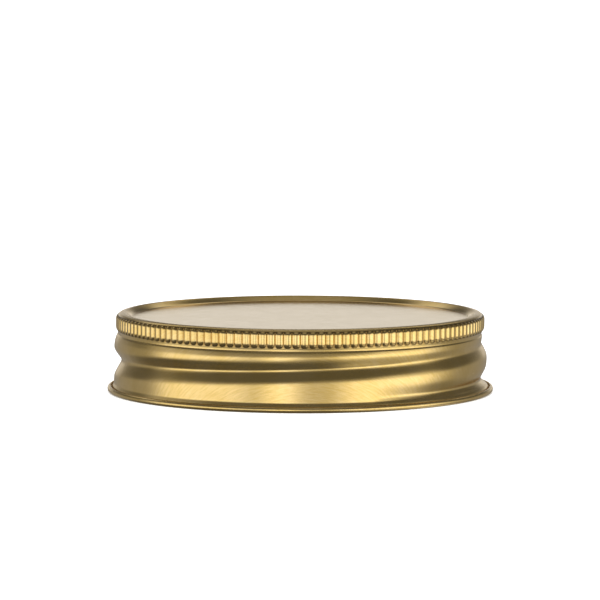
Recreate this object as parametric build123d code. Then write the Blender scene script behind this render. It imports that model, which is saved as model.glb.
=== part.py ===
from build123d import *
from math import ceil, cos, pi, radians, sin, tan
import os

# A screw lid for a 70 mm jar mouth, pressed from one disc of lacquered tinplate, with a ring of
# soft sealing compound flowed into the channel under its rim.
# Millimetres, +Z up, standing on its curled edge, origin at the middle of the circle it stands on.

# The sheet, the overall height and the skirt, from which the other heights and radii follow
sheet = 0.22
lid_height = 15.2
skirt_radius = 35.85
shoulder_drop = 6.2
flare_height = 1.75

# The knurled band, a little narrower than the skirt, and the neck under it
band_inset = 0.77
neck_drop = 3.6

# The panel, which lies a little below the rim that stands round it
panel_recess = 0.9
panel_inset = 2.78
rim_bend_width = 1.2
rim_bend_height = 0.6

# The curled edge, an open roll that hides the cut edge of the sheet
curl_reach = 1.25
curl_tube_radius = 0.58
curl_turn = 270

# The knurls, pressed outwards round the band
knurl_count = 142
knurl_crest_width = 0.62
knurl_proud = 0.36
knurl_bite = 0.1
knurl_flank_slope = 0.7
knurl_end_slope = 2
knurl_margin = 0.1

# The thread, a rounded groove rolled inwards along a right-hand helix
thread_pitch = 6.5
thread_start_angle = 14
thread_start_height = 1.48
thread_overrun = 1.65
thread_depth = 1.5
thread_upper_flank = 1.75
thread_lower_flank = 2.65
thread_root_width = 0.4
thread_outlet = 1.2
thread_clear = 0.1
thread_runin_angle = 105
thread_runout_angle = 110
thread_step_angle = 15
foot_drop = 0.25
foot_angle = 30

# The sealing ring
seal_inset = 4.68
seal_thickness = 0.58

# Bends are made as flats no wider than so many degrees, to spare faces. The inside of the roll and
# of the rim, which nothing shows, get the wider ones.
flat_angle = 45
hidden_flat_angle = 90

band_radius = skirt_radius - band_inset
panel_radius = band_radius - panel_inset
crest_radius = band_radius - rim_bend_width
panel_height = lid_height - panel_recess
band_top = lid_height - rim_bend_height
neck_bottom = lid_height - neck_drop
shoulder_height = lid_height - shoulder_drop
curl_radius = skirt_radius + curl_reach
curl_inner_radius = curl_tube_radius - sheet
curl_centre_radius = curl_radius - curl_tube_radius
curl_root_radius = curl_centre_radius - curl_inner_radius
seal_inner_radius = band_radius - seal_inset
seal_face_height = panel_height - sheet - seal_thickness
thread_end_height = shoulder_height + thread_overrun
thread_turn_angle = 360 * (thread_end_height - thread_start_height) / thread_pitch


def bend(centre, width, height, start, turn, widest):
    """Points of a round or oval bend, from a start angle over a turn, in equal flats none wider than so much."""
    pieces = ceil(turn / widest)
    angles = [radians(start + turn * piece / pieces) for piece in range(pieces + 1)]
    return [(centre[0] + width * cos(angle), centre[1] + height * sin(angle)) for angle in angles]


def turned(points):
    """A section given as points of radius and height, revolved once about the lid's axis."""
    outline = Polyline(*points, close=True)
    return revolve(Plane.XZ * make_face(outline.edges()), axis=Axis.Z)


def below_face(points, depth):
    """A line drawn on the outer face, moved into the sheet by a depth, its corners kept sharp."""
    corners = [Vector(*point) for point in points]
    runs = [(end - start).normalized() for start, end in zip(corners, corners[1:])]
    inwards = [Vector(run.Y, -run.X) for run in runs]
    return [
        corner + (before + after) * (depth / (1 + before.dot(after)))
        for corner, before, after in zip(corners, [inwards[0], *inwards], [*inwards, inwards[-1]])
    ]


def sheet_line(depth):
    """Section of the sheet's face at a depth below its outer face, from the panel's middle to the curl."""
    widest = hidden_flat_angle if depth else flat_angle
    rim = bend((crest_radius, band_top), rim_bend_width, rim_bend_height, 0, 90, widest)
    points = [
        (0, panel_height),
        (panel_radius, panel_height),
        *reversed(rim),
        (band_radius, neck_bottom),
        (skirt_radius, shoulder_height),
        (skirt_radius, flare_height),
        (curl_root_radius, curl_tube_radius),
    ]
    return [*below_face(points, depth)[:-1], (curl_root_radius - depth, curl_tube_radius)]


def filled(points):
    """The solid under a line of the sheet, down to the plane in which the curl begins."""
    return turned([*points, (0, curl_tube_radius)])


def curl():
    """The rolled edge: a strip of sheet bent outwards, under and up round the middle of its tube."""
    centre = (curl_centre_radius, curl_tube_radius)
    inside = bend(centre, curl_inner_radius, curl_inner_radius, 180, curl_turn, hidden_flat_angle)
    outside = bend(centre, curl_tube_radius, curl_tube_radius, 180, curl_turn, flat_angle)
    return turned([*inside, *reversed(outside)])


def knurls():
    """Upright ribs with flat crests and sloping flanks and ends, spaced evenly round the band."""
    crest = band_radius + knurl_proud
    root = band_radius - knurl_bite
    half_width = knurl_crest_width / 2
    full_width = half_width + knurl_flank_slope * (crest - root)
    full_height = (band_top - neck_bottom) / 2 - knurl_margin + knurl_end_slope * knurl_bite
    half_height = full_height - knurl_end_slope * (crest - root)
    across = [
        (root, -full_width),
        (crest, -half_width),
        (crest, half_width),
        (root, full_width),
    ]
    upright = [
        (root, -full_height),
        (crest, -half_height),
        (crest, half_height),
        (root, full_height),
    ]
    flanks = extrude(make_face(Polyline(*across, close=True).edges()), band_top, both=True)
    ends = extrude(Plane.XZ * make_face(Polyline(*upright, close=True).edges()), band_radius, both=True)
    middle = Pos(0, 0, (band_top + neck_bottom) / 2)
    return PolarLocations(0, knurl_count) * (middle * (flanks & ends))


def eased(share):
    """A share that leaves nought gently and comes to one gently: half of one less the cosine."""
    return (1 - cos(pi * min(1, share))) / 2


def thread_path():
    """Helix of the groove's root, with the groove's depth fading in and out at the two ends."""
    steps = round(thread_turn_angle / thread_step_angle)
    points = []
    for step in range(steps + 1):
        angle = thread_turn_angle * step / steps
        fade = eased(angle / thread_runin_angle)
        fade *= eased((thread_turn_angle - angle) / thread_runout_angle)
        radius = skirt_radius + thread_clear - fade * (thread_depth + thread_clear)
        height = thread_start_height + thread_pitch * angle / 360
        points.append(Vector(0, -radius, height).rotate(Axis.Z, thread_start_angle + angle))
    return Spline(*points)


def thread_bar(depth):
    """The rolled groove as a bar wound along the thread, its faces at a depth below the outer face."""
    path = thread_path()
    half_root = thread_root_width / 2
    groove = [
        (thread_outlet * thread_depth, half_root + thread_outlet * thread_upper_flank),
        (0, half_root),
        (0, -half_root),
        (thread_outlet * thread_depth, -half_root - thread_outlet * thread_lower_flank),
    ]
    section = make_face(Polyline(*below_face(groove, depth), close=True).edges())
    start = path @ 0
    outwards = Vector(start.X, start.Y, 0).normalized()
    plane = Plane(origin=start, x_dir=outwards, z_dir=outwards.cross(Vector(0, 0, 1)))
    bar = sweep(plane * section, path=path, is_frenet=True)
    return bar - thread_foot(depth)


def thread_foot(depth):
    """The slope on which the groove stops at its low end, so that the flare and the curl stay whole."""
    rise = tan(radians(foot_angle))
    foot_height = flare_height - foot_drop - depth / cos(radians(foot_angle))
    reach = curl_radius + thread_depth
    below = -thread_pitch
    return turned(
        [
            (reach, below),
            (reach, foot_height - rise * (reach - skirt_radius)),
            (seal_inner_radius, foot_height + rise * (skirt_radius - seal_inner_radius)),
            (seal_inner_radius, below),
        ]
    )


def lid_shell():
    """The whole sheet: its outer form with the knurls, less its inner form, the thread on both."""
    outside = filled(sheet_line(0)) + knurls() - thread_bar(0)
    inside = filled(sheet_line(sheet)) - thread_bar(sheet)
    return outside - inside + curl()


def sealing_ring():
    """The compound, which fills the channel under the rim and lies flat where the jar's mouth presses."""
    blank = turned(
        [
            (seal_inner_radius, lid_height),
            (seal_inner_radius, seal_face_height),
            (band_radius, seal_face_height),
            (band_radius, lid_height),
        ]
    )
    return blank & filled(sheet_line(sheet))


os.makedirs("parts", exist_ok=True)
export_step(lid_shell(), "parts/lid_shell.step")
export_step(sealing_ring(), "parts/sealing_ring.step")
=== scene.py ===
import bpy
import numpy as np
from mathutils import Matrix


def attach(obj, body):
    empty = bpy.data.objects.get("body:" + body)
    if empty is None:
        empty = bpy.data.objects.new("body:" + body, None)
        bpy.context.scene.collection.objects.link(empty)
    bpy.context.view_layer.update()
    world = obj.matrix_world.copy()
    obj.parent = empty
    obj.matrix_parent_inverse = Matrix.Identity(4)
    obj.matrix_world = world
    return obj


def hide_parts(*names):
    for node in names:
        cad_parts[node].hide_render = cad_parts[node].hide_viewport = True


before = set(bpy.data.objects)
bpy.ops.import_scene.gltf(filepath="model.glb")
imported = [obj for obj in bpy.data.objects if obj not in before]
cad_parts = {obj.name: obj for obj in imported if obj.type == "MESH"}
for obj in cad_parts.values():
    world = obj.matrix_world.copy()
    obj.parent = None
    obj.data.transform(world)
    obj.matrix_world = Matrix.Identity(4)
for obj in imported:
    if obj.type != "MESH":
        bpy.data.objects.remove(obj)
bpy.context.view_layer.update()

# The lid itself, one disc of tinplate 0.22 mm thick, lacquered gold on the flat and then pressed. Its
# panel is sunk inside a round rim, its wall is drawn down, and its edge is rolled outwards over the cut.
# All its sizes are in millimetres, as radius and height above the surface it stands on.
mm = 0.001
sheet = 0.22
panel_height = 14.3

# The curl, an open roll round a circle, from the wall's foot outwards under and up again.
curl_radius = 36.52
curl_height = 0.58
curl_inside = 0.36
curl_start = 180
curl_turn = 270
curl_root = curl_radius - curl_inside

# Corners of the outer face, from the panel's middle over the rim and down the band, the neck and the
# skirt to the curl, and the radius of the bend at each corner between the first and the last.
wall_corners = [
    (0.0, panel_height),
    (32.35, panel_height),
    (33.6, 15.24),
    (35.17, 14.98),
    (35.2, 12.1),
    (35.1, 11.44),
    (35.1, 11.16),
    (35.31, 10.92),
    (35.64, 10.0),
    (35.94, 8.6),
    (35.86, 1.7),
    (curl_root, 1.0),
    (curl_root, curl_height),
]
corner_bends = [0.5, 0.8, 0.9, 0.6, 0.3, 0.2, 0.4, 3.0, 4.0, 0.6, 0.5]
bend_step = 0.004
curl_points = 200
least_step = 1e-9

# The knurls, pressed outwards round the band for the fingers: upright ovals, set edge to edge.
knurl_count = 142
knurl_middle = 13.33
knurl_half_height = 1.44
knurl_half_width = 0.78
knurl_proud = 0.27
knurl_gap_depth = 0.2
knurl_flatness = 2.2

# The thread, rolled inwards between two wheels after pressing, so that it fades in and out. Degrees are
# counted along its helix from the low end, whose own are counted round the lid from the front. A slope
# is depth lost for height, and a softness rounds an edge.
thread_pitch = 6.5
thread_start_angle = 14
thread_start_height = 1.4
thread_turn_angle = 508
thread_runin_start = 8
thread_runin_angle = 150
thread_runin_power = 0.6
thread_runout_angle = 90
thread_depth = 1.6
thread_shallower = 0.3
thread_shallower_start = 240
thread_shallower_angle = 120
thread_half_root = 0.12
thread_upper_slope = 0.79
thread_lower_slope = 0.6
thread_upper_softness = 0.5
thread_lower_softness = 0.3
thread_root_softness = 0.14
thread_low_root = 2.2
thread_low_softness = 0.5
thread_foot_height = 1.4
thread_foot_rise = 1.05

# The mesh: the radius up to which the panel has few rows, the heights between which the wall is worked,
# how far the finer rings go beyond the knurls, the columns and rows of faces, how closely the finer
# columns crowd, and over how far a slope is measured.
flat_radius = 31.5
wall_top = 14.9
wall_foot = 1.4
band_margin = 0.04
columns = 2 * knurl_count
knurl_columns = 10 * knurl_count
knurl_crowding = 0.6
panel_row_places = 9
slope_reach = 0.02


def bent_line(corners, bends, step):
    """Points along straight runs whose corners are bent to arcs. An arc begins before its corner by the
    radius times the tangent of half the turn, and goes round a centre square to the run by the radius."""
    corners = [complex(*corner) for corner in corners]
    line = [corners[:1]]
    for before, corner, after, radius in zip(corners, corners[1:], corners[2:], bends):
        ahead = (corner - before) / abs(corner - before)
        turn = np.angle((after - corner) / ahead)
        start = corner - ahead * radius * np.tan(abs(turn) / 2)
        centre = start + 1j * np.sign(turn) * ahead * radius
        count = 2 + int(radius * abs(turn) / step)
        line.append(centre + (start - centre) * np.exp(1j * np.linspace(0, turn, count)))
    line.append(corners[-1:])
    return np.concatenate(line)


def sheet_profile():
    """The outer face from the panel's middle to the end of the curl, as lengths along it and points: the
    bent wall, then the inside of the roll as a circle round the curl's middle."""
    wall = bent_line(wall_corners, corner_bends, bend_step)
    angles = np.radians(np.linspace(curl_start, curl_start + curl_turn, curl_points))
    roll = complex(curl_radius, curl_height) + curl_inside * np.exp(1j * angles)
    line = np.concatenate([wall, roll[1:]])
    length = np.concatenate([[0], np.cumsum(np.abs(np.diff(line)))])
    keep = np.concatenate([[True], np.diff(length) > least_step])
    return length[keep], line[keep]


def softly_least(one, other, softness):
    """The lesser of two values, rounded where they cross: half of their sum less a softened gap."""
    return (one + other - np.sqrt((one - other) ** 2 + softness**2)) / 2


def eased(share):
    """Half of one less the cosine: leaves nought gently and comes to one gently."""
    return (1 - np.cos(np.pi * np.clip(share, 0, 1))) / 2


def groove_depth(angle, height):
    """Depth of the rolled thread at an angle and a height. It falls off from the helix by one slope above
    and another below, is cut off by the foot's slope, and fades at both ends along the helix. Over the
    last third of the first turn it gets shallower. The helix starts no lower than the foot allows."""
    depth = 0
    for turn in (0, 360):
        along = np.mod(angle - thread_start_angle, 360) + turn
        runin = np.clip((along - thread_runin_start) / thread_runin_angle, 0, 1)
        fade = np.sin(np.pi / 2 * runin) ** thread_runin_power
        fade = fade * eased((thread_turn_angle - along) / thread_runout_angle)
        helix = thread_start_height + thread_pitch * along / 360
        root = -softly_least(-helix, -thread_low_root, thread_low_softness)
        above = height - root
        shallower = eased((along - thread_shallower_start) / thread_shallower_angle)
        deepest = thread_depth * (1 - thread_shallower * shallower)
        upper = deepest * (1 - (above - thread_half_root) * thread_upper_slope / thread_depth)
        lower = deepest + (above + thread_half_root) * thread_lower_slope
        foot = thread_depth * (height - thread_foot_height) / thread_foot_rise
        upper = -softly_least(-upper, 0, thread_upper_softness)
        lower = -softly_least(-lower, 0, thread_lower_softness)
        foot = -softly_least(-foot, 0, thread_root_softness)
        cut = softly_least(softly_least(upper, lower, thread_root_softness), deepest, thread_root_softness)
        depth = np.maximum(depth, fade * softly_least(cut, foot, thread_root_softness))
    return depth


def knurl_height(angle, height):
    """Height of the knurls above the band. Each is an upright oval with half-round ends, and its face goes
    by the root of one less a power of the distance from its middle line, as a share of its half width.
    Between them the gaps are pressed a little below the band, by one less the squared end distance."""
    side = np.abs(np.mod(angle * knurl_count / 360, 1) - 0.5) * 2
    end = np.abs(height - knurl_middle)
    beyond = np.maximum(end - knurl_half_height + knurl_half_width, 0) / knurl_half_width
    face = np.sqrt(np.clip(1 - np.hypot(side, beyond) ** knurl_flatness, 0, 1))
    gap = knurl_gap_depth * np.clip(1 - (end / knurl_half_height) ** 2, 0, 1)
    return (knurl_proud + gap) * face - gap


profile_length, profile_line = sheet_profile()


def place_of(height, after):
    """Length along the profile at which the outer face comes down to a height, past a given length."""
    there = (profile_length > after) & (profile_line.imag <= height)
    return profile_length[np.argmax(there)]


def place_at(radius):
    """Length along the profile at which the outer face first goes beyond a radius."""
    return profile_length[np.argmax(profile_line.real > radius)]


panel_end = place_at(flat_radius)
rim_top = profile_length[np.argmax(profile_line.imag)]
wall_start = place_of(wall_top, rim_top)
band_start = place_of(knurl_middle + knurl_half_height + band_margin, rim_top)
band_end = place_of(knurl_middle - knurl_half_height - band_margin, rim_top)
wall_end = place_of(wall_foot, band_end)
profile_end = profile_length[-1]


def sheet_face(length, angle):
    """Points on the outer face: the profile carried round the axis, pushed in by the thread's groove and
    out by the knurls, both only on the wall."""
    height = np.interp(length, profile_length, profile_line.imag)
    wall = (length > wall_start) & (length < wall_end)
    push = np.where(wall, knurl_height(angle, height) - groove_depth(angle, height), 0)
    radius = np.interp(length, profile_length, profile_line.real) + push
    turn = np.radians(angle)
    return np.stack([radius * np.sin(turn), -radius * np.cos(turn), height + 0 * turn], -1)


def ring_angles(count):
    """Even angles round a ring. In the ring that is finer for the knurls they crowd into the gaps between
    them, by a sine of the place from one gap to the next."""
    place = np.arange(count) * knurl_count / count
    crowding = knurl_crowding if count == knurl_columns else 0
    return (place - crowding * np.sin(2 * np.pi * place) / (2 * np.pi)) * 360 / knurl_count


def sheet_ring(length, count, depth=0.0):
    """One ring of the face, moved into the sheet by a depth, square to the face. The direction comes from
    the face's own slopes along and across the profile."""
    angle = ring_angles(count)
    face = sheet_face(length, angle)
    if depth:
        along = sheet_face(length + slope_reach, angle) - sheet_face(length - slope_reach, angle)
        across = sheet_face(length, angle + slope_reach) - sheet_face(length, angle - slope_reach)
        outward = np.cross(along, across)
        face = face - depth * outward / np.linalg.norm(outward, axis=1, keepdims=True)
    return face


def row_lengths(start, end, longest, sharpest):
    """Where rows go between two places of the profile: closer where it bends, by a sum in which a row's
    length counts as a share of the longest, and its turn in degrees as a share of the sharpest."""
    turn = np.abs(np.angle(np.diff(profile_line)[1:] / np.diff(profile_line)[:-1]))
    weight = np.diff(profile_length)[:-1] / longest + np.degrees(turn) / sharpest
    weight = np.concatenate([[0], np.cumsum(weight), [0]])
    weight[-1] = weight[-2]
    low, high = np.interp([start, end], profile_length, weight)
    rows = int(np.ceil(high - low)) + 1
    return np.interp(np.linspace(low, high, rows), weight, profile_length)


def sheet_rows(longest, sharpest, knurl_longest):
    """Lengths of the rows from the panel's middle on, with the number of columns of each: a finer ring in
    the band of knurls."""
    panel = np.linspace(0, panel_end, panel_row_places)[1:-1]
    rim = row_lengths(panel_end, band_start, longest, sharpest)
    band = row_lengths(band_start, band_end, knurl_longest, sharpest)[1:-1]
    skirt = row_lengths(band_end, profile_end, longest, sharpest)
    rows = [(length, columns) for length in [*panel, *rim]]
    rows += [(length, knurl_columns) for length in band]
    rows += [(length, columns) for length in skirt]
    return rows


def skin(rings):
    """Faces between each ring of points and the next. Rings of one size give squares, a ring of one point
    gives a fan, and a finer ring beside a coarser one gives faces with a corner at each of its points."""
    sizes = [len(ring) for ring in rings]
    starts = np.concatenate([[0], np.cumsum(sizes)])
    faces = []
    for size, following, first, second in zip(sizes, sizes[1:], starts, starts[1:]):
        fewest = min(size, following)
        steps = np.arange(fewest if fewest > 1 else max(size, following))
        here = size // len(steps)
        there = following // len(steps)
        upper = first + (steps[:, None] * here + np.arange(here + 1)[None, ::-1]) % size
        lower = second + (steps[:, None] * there + np.arange(there + 1)[None]) % following
        faces.append(np.concatenate([upper, lower], 1))
    return faces


def surface(name, rings, closed=False):
    """A smooth mesh from rings of points in millimetres, the last joined to the first if it is closed.
    The faces are laid end to end for Blender."""
    points = np.concatenate(rings) * mm
    faces = skin([*rings, rings[0]] if closed else rings)
    if closed:
        faces = [face % len(points) for face in faces]
    corners = np.concatenate([face.ravel() for face in faces])
    sizes = np.concatenate([np.full(len(face), face.shape[1]) for face in faces])
    starts = np.concatenate([[0], np.cumsum(sizes)[:-1]])
    mesh = bpy.data.meshes.new(name)
    mesh.vertices.add(len(points))
    mesh.vertices.foreach_set("co", points.ravel())
    mesh.loops.add(len(corners))
    mesh.loops.foreach_set("vertex_index", corners.astype(np.int32))
    mesh.polygons.add(len(sizes))
    mesh.polygons.foreach_set("loop_start", starts.astype(np.int32))
    mesh.update(calc_edges=True)
    mesh.validate()
    mesh.shade_smooth()
    piece = bpy.data.objects.new(name, mesh)
    bpy.context.collection.objects.link(piece)
    return piece


outer_rows = sheet_rows(longest=0.26, sharpest=13, knurl_longest=0.18)
inner_rows = sheet_rows(longest=0.5, sharpest=24, knurl_longest=0.5)
outer_middle = np.array([[0, 0, panel_height]])
inner_middle = np.array([[0, 0, panel_height - sheet]])
outer_rings = [sheet_ring(length, count) for length, count in outer_rows]
inner_rings = [sheet_ring(length, count, sheet) for length, count in inner_rows]
gold_lid = surface("gold_lid", [outer_middle, *outer_rings, *reversed(inner_rings), inner_middle])


def feed(node, inputs):
    """Gives a node's sockets, by name or number, what each is to have: a value, or a wire to it."""
    for name, value in inputs.items():
        if isinstance(value, Wire):
            node.id_data.links.new(value.socket, node.inputs[name])
        else:
            node.inputs[name].default_value = value


class Wire:
    """A value in a material. Sums, products and powers of it add the Math nodes that work them out, and
    add() puts in any other node: its settings first, then the values or wires of its sockets."""

    def __init__(self, tree, socket=None):
        self.tree = tree
        self.socket = socket

    def add(self, kind, settings=None, inputs=None, output=0):
        node = self.tree.nodes.new(kind)
        for name, value in (settings or {}).items():
            setattr(node, name, value)
        feed(node, inputs or {})
        return Wire(self.tree, node.outputs[output])

    def another(self, output):
        """Another output of the same node."""
        return Wire(self.tree, self.socket.node.outputs[output])

    def maths(self, operation, *values):
        return self.add("ShaderNodeMath", {"operation": operation}, dict(enumerate(values)))

    def __add__(self, other):
        return self.maths("ADD", self, other)

    def __radd__(self, other):
        return self.maths("ADD", other, self)

    def __sub__(self, other):
        return self.maths("SUBTRACT", self, other)

    def __rsub__(self, other):
        return self.maths("SUBTRACT", other, self)

    def __mul__(self, other):
        return self.maths("MULTIPLY", self, other)

    def __rmul__(self, other):
        return self.maths("MULTIPLY", other, self)

    def __truediv__(self, other):
        return self.maths("DIVIDE", self, other)

    def __pow__(self, other):
        return self.maths("POWER", self, other)

    def between(self, low, high):
        """A share from nought at one value to one at another, held at both."""
        settings = {"interpolation_type": "SMOOTHSTEP"}
        return self.add("ShaderNodeMapRange", settings, {"Value": self, "From Min": low, "From Max": high})

    def noise(self, vector, scale, detail, roughness):
        """Cloudy noise, from nought to one."""
        inputs = {"Vector": vector, "Scale": scale, "Detail": detail, "Roughness": roughness}
        return self.add("ShaderNodeTexNoise", {}, inputs)

    def mixed(self, share, one, other):
        """A colour between two, by a share. The node has its colours on sockets 6 and 7, and gives on 2."""
        return self.add("ShaderNodeMix", {"data_type": "RGBA"}, {0: share, 6: one, 7: other}, 2)

    def vector(self, x, y, z=0.0):
        """A place from its three numbers."""
        return self.add("ShaderNodeCombineXYZ", {}, {"X": x, "Y": y, "Z": z})

    def bump(self, height, strength, distance):
        """A tilt of the surface that looks like relief of a height from nought to one times a distance."""
        inputs = {"Height": height, "Strength": strength, "Distance": distance}
        return self.add("ShaderNodeBump", {}, inputs)


def new_finish(name, metallic, roughness):
    """A material with one shader, whose own sockets hold what is the same all over."""
    material = bpy.data.materials.new(name)
    material.use_nodes = True
    shader = material.node_tree.nodes["Principled BSDF"]
    feed(shader, {"Metallic": metallic, "Roughness": roughness})
    return material, shader, Wire(material.node_tree)


# The lid's finish, a gold lacquer that is deeper in clouds and along the grain, with painted shade
# darkening the gaps between the knurls. An edge is where something begins and where it is in full.
gold_colour = (0.92, 0.67, 0.29, 1)
deep_colour = (0.78, 0.53, 0.15, 1)
# A dark colour for painted shade in the gaps between the knurls.
gap_shade_colour = (0.26, 0.15, 0.04, 1)
cloud_share = 0.35
cloud_edge = (0.35, 0.65)
grain_share = 0.5
grain_edge = (0.3, 0.7)
grain_along = 0.35
grain_across = 3.2
gap_shade_share = 0.85
gap_shade_edge = (0.78, 1.1)
gap_shade_end_edge = (1.4, 1.6)
gap_shade_inner_edge = (34.4, 34.8)
gold_roughness = 0.24
grain_roughness = 0.12
speck_roughness = 0.05
knurl_smoothness = 0.1
knurls_lower_edge = (11.4, 12.1)
knurls_upper_edge = (14.5, 15.0)
grain_relief = 0.7
speck_relief = 0.3

gold, shader, wire = new_finish("gold_lacquer", metallic=1.0, roughness=0.25)
in_metres = wire.add("ShaderNodeTexCoord", output="Object")
parts = wire.add("ShaderNodeSeparateXYZ", inputs={"Vector": in_metres})
x = parts / mm
y = parts.another("Y") / mm
z = parts.another("Z") / mm
radius = (x * x + y * y) ** 0.5
place = wire.vector(x, y, z)

# The grain was straight on the flat sheet, so the wall is laid out flat round the panel to find it.
flattened = 1 + wire.maths("MAXIMUM", panel_height - z, 0.0) / radius
flat_place = wire.vector(x * flattened * grain_along, y * flattened * grain_across)
grain = wire.noise(flat_place, scale=1.0, detail=3.0, roughness=0.6)
cloud = wire.noise(place, scale=0.16, detail=2.0, roughness=0.5)
speck = wire.noise(place, scale=3.0, detail=2.0, roughness=0.5)
deeper = cloud.between(*cloud_edge) * cloud_share + grain.between(*grain_edge) * grain_share
colour = wire.mixed(deeper, gold_colour, deep_colour)

# Painted shade in the gaps between the knurls, which are found as the mesh's are, by the distance from a
# knurl's middle line.
knurl_place = wire.maths("ARCTAN2", x, -1 * y) * (knurl_count / (2 * np.pi))
side = wire.maths("ABSOLUTE", wire.maths("FRACT", knurl_place + knurl_count) - 0.5) * 2
end = wire.maths("ABSOLUTE", z - knurl_middle)
beyond = wire.maths("MAXIMUM", end - (knurl_half_height - knurl_half_width), 0.0) / knurl_half_width
gap = ((side * side + beyond * beyond) ** 0.5).between(*gap_shade_edge) * (1 - end.between(*gap_shade_end_edge))
gap = gap * radius.between(*gap_shade_inner_edge) * gap_shade_share
colour = wire.mixed(gap, colour, gap_shade_colour)
knurled = z.between(*knurls_lower_edge) * (1 - z.between(*knurls_upper_edge))
rough = gold_roughness + (grain - 0.5) * grain_roughness + (speck - 0.5) * speck_roughness
rough = rough - knurled * knurl_smoothness
relief = grain * grain_relief + speck * speck_relief
bump = wire.bump(relief, strength=0.35, distance=0.02 * mm)
feed(shader, {"Base Color": colour, "Roughness": rough, "Normal": bump})
feed(shader, {"Coat Weight": 0.05, "Coat Roughness": 0.12})
gold_lid.data.materials.append(gold)
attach(gold_lid, "root")
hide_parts("lid_shell")

# The ring of sealing compound, poured into the channel under the rim while the lid spins, and baked.
# It is soft, pale and slightly glossy, and the jar's mouth presses on its flat lower face, whose corners
# and bends are given as the wall's are.
seal_inner_radius = 30.5
seal_foot = 13.4
seal_overlap = 0.02
seal_step = 0.05
seal_corners = [
    (seal_inner_radius, 14.1),
    (seal_inner_radius, 13.75),
    (31.1, 13.52),
    (33.9, 13.5),
    (34.4, 13.52),
    (34.9, 13.3),
]
seal_bends = [0.2, 0.5, 0.6, 0.4]


def seal_rings():
    """Rings of the compound: along the sheet's inner face, a little inside it so that no gap shows, and
    back over the lower face in bent runs."""
    seal_start = place_at(seal_inner_radius)
    seal_end = place_of(seal_foot, rim_top)
    lengths = row_lengths(seal_start, seal_end, longest=0.5, sharpest=16)[1:]
    upper = [sheet_ring(length, columns, sheet - seal_overlap) for length in lengths]
    angle = np.radians(ring_angles(columns))[:, None]
    turn = np.concatenate([np.sin(angle), -np.cos(angle), 0 * angle], 1)
    line = bent_line(seal_corners, seal_bends, seal_step)
    lower = [turn * point.real + [0, 0, point.imag] for point in line]
    return [*upper, *reversed(lower)]


sealing_ring = surface("sealing_compound_ring", seal_rings(), closed=True)

# The compound's finish, stained in clouds and slightly porous.
compound_colour = (0.62, 0.60, 0.53, 1)
stain_colour = (0.50, 0.46, 0.37, 1)
stain_edge = (0.4, 0.75)
compound_roughness = 0.32
stain_roughness = 0.25
pore_relief = 0.3

compound, shader, wire = new_finish("sealing_compound", metallic=0.0, roughness=0.4)
in_metres = wire.add("ShaderNodeTexCoord", output="Object")
cloud = wire.noise(in_metres, scale=180.0, detail=3.0, roughness=0.55)
pore = wire.noise(in_metres, scale=2600.0, detail=2.0, roughness=0.5)
colour = wire.mixed(cloud.between(*stain_edge), compound_colour, stain_colour)
bump = wire.bump(cloud + pore * pore_relief, strength=0.3, distance=0.05 * mm)
rough = compound_roughness + cloud * stain_roughness
feed(shader, {"Base Color": colour, "Roughness": rough, "Normal": bump})
sealing_ring.data.materials.append(compound)
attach(sealing_ring, "root")
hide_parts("sealing_ring")

# The table, a wide sheet of white board, without an edge in view. The polished lid mirrors the studio's
# lamps and not the board, so that its wall is as dark and bright as a lid held clear of any table.
board_half = 20.0
board_colour = (0.92, 0.92, 0.92, 1)
board_glow = 0.4
board_corners = np.array([[-1, -1, 0], [1, -1, 0], [1, 1, 0], [-1, 1, 0]]) * board_half
board_mesh = bpy.data.meshes.new("table_board")
board_mesh.from_pydata(board_corners.tolist(), [], [(0, 1, 2, 3)])
table_board = bpy.data.objects.new("table_board", board_mesh)
table_board.visible_glossy = False
bpy.context.collection.objects.link(table_board)
board, shader = new_finish("white_board", metallic=0.0, roughness=0.7)[:2]
feed(shader, {"Base Color": board_colour})
feed(shader, {"Emission Color": board_colour, "Emission Strength": board_glow})
board_mesh.materials.append(board)

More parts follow.
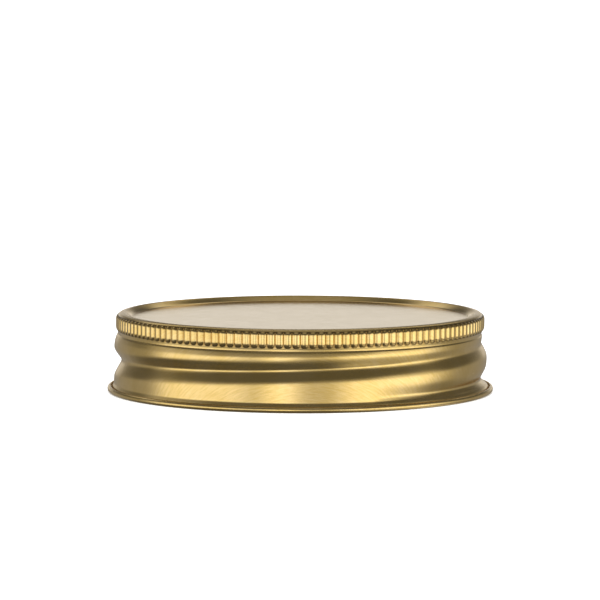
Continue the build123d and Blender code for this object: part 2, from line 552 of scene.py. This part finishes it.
# The studio, a dim room with soft boxes round the lid. Each box is where it is seen from the lid: the
# angle round the lid from the front, the angle above the board, half its width and height, and how far
# its edge fades, all in degrees, and its strength.
room_strength = 0.1
half_turn = 180.0
soft_boxes = {
    "front_wall": (5, -3, 98, 14, 12, 0.4),
    "right": (57, -8, 31, 18, 10, 0.8),
    "left": (-66, -2, 32, 15, 10, 0.55),
    "front": (-12, -4, 10, 18, 6, 0.8),
    "front_above": (0, 22, 70, 5, 7, 0.2),
    "right_above": (72, 20, 22, 8, 8, 0.5),
    "left_above": (-88, 20, 22, 8, 8, 0.35),
    "backdrop": (180, 5, 24, 5, 6, 0.6),
    "backdrop_high": (-172, 38, 42, 8, 6, 0.6),
    "ceiling": (180, 78, 180, 12, 8, 0.2),
    "board_right": (95, -45, 60, 10, 8, 0.5),
    "all_round": (180, -8, 180, 18, 8, 0.2),
}
studio = bpy.data.worlds.new("studio")
studio.use_nodes = True
bpy.context.scene.world = studio
wire = Wire(studio.node_tree)
direction = wire.add("ShaderNodeTexCoord", output="Generated")
parts = wire.add("ShaderNodeSeparateXYZ", inputs={"Vector": direction})
around = wire.maths("ARCTAN2", parts, -1 * parts.another("Y")) * np.degrees(1)
above = wire.maths("ARCSINE", parts.another("Z")) * np.degrees(1)
strength = room_strength
for box_around, box_above, half_width, half_height, fade, box_strength in soft_boxes.values():
    beside = wire.maths("ABSOLUTE", wire.maths("WRAP", around - box_around, half_turn, -half_turn))
    over = wire.maths("ABSOLUTE", above - box_above)
    inside = (half_width + fade - beside).between(0.0, 2 * fade)
    inside = inside * (half_height + fade - over).between(0.0, 2 * fade)
    strength = strength + inside * box_strength
feed(studio.node_tree.nodes["Background"], {"Color": (1, 1, 1, 1), "Strength": strength})

# The lamp over the board, a wide soft one that whitens the board evenly and isn't mirrored by the lid.
lamp_strength = 3.6
lamp_width = 80
lamp = bpy.data.lights.new("lamp_above", "SUN")
lamp.energy = lamp_strength
lamp.angle = np.radians(lamp_width)
lamp_above = bpy.data.objects.new("lamp_above", lamp)
lamp_above.visible_glossy = False
bpy.context.collection.objects.link(lamp_above)

# The camera, in front of the lid and a few degrees above it. Its angles are how far it is raised from
# looking straight down, its roll and its turn to the side.
camera_lens = 226.6
camera_sensor_width = 36
camera_place = (0, -0.723, 0.0851)
camera_angles = (84.652, -0.1, 0.015)
camera_data = bpy.data.cameras.new("camera")
camera_data.lens = camera_lens
camera_data.sensor_width = camera_sensor_width
camera = bpy.data.objects.new("camera", camera_data)
camera.location = camera_place
camera.rotation_euler = np.radians(camera_angles)
bpy.context.collection.objects.link(camera)
bpy.context.scene.camera = camera
bpy.context.scene.view_settings.view_transform = "Standard"
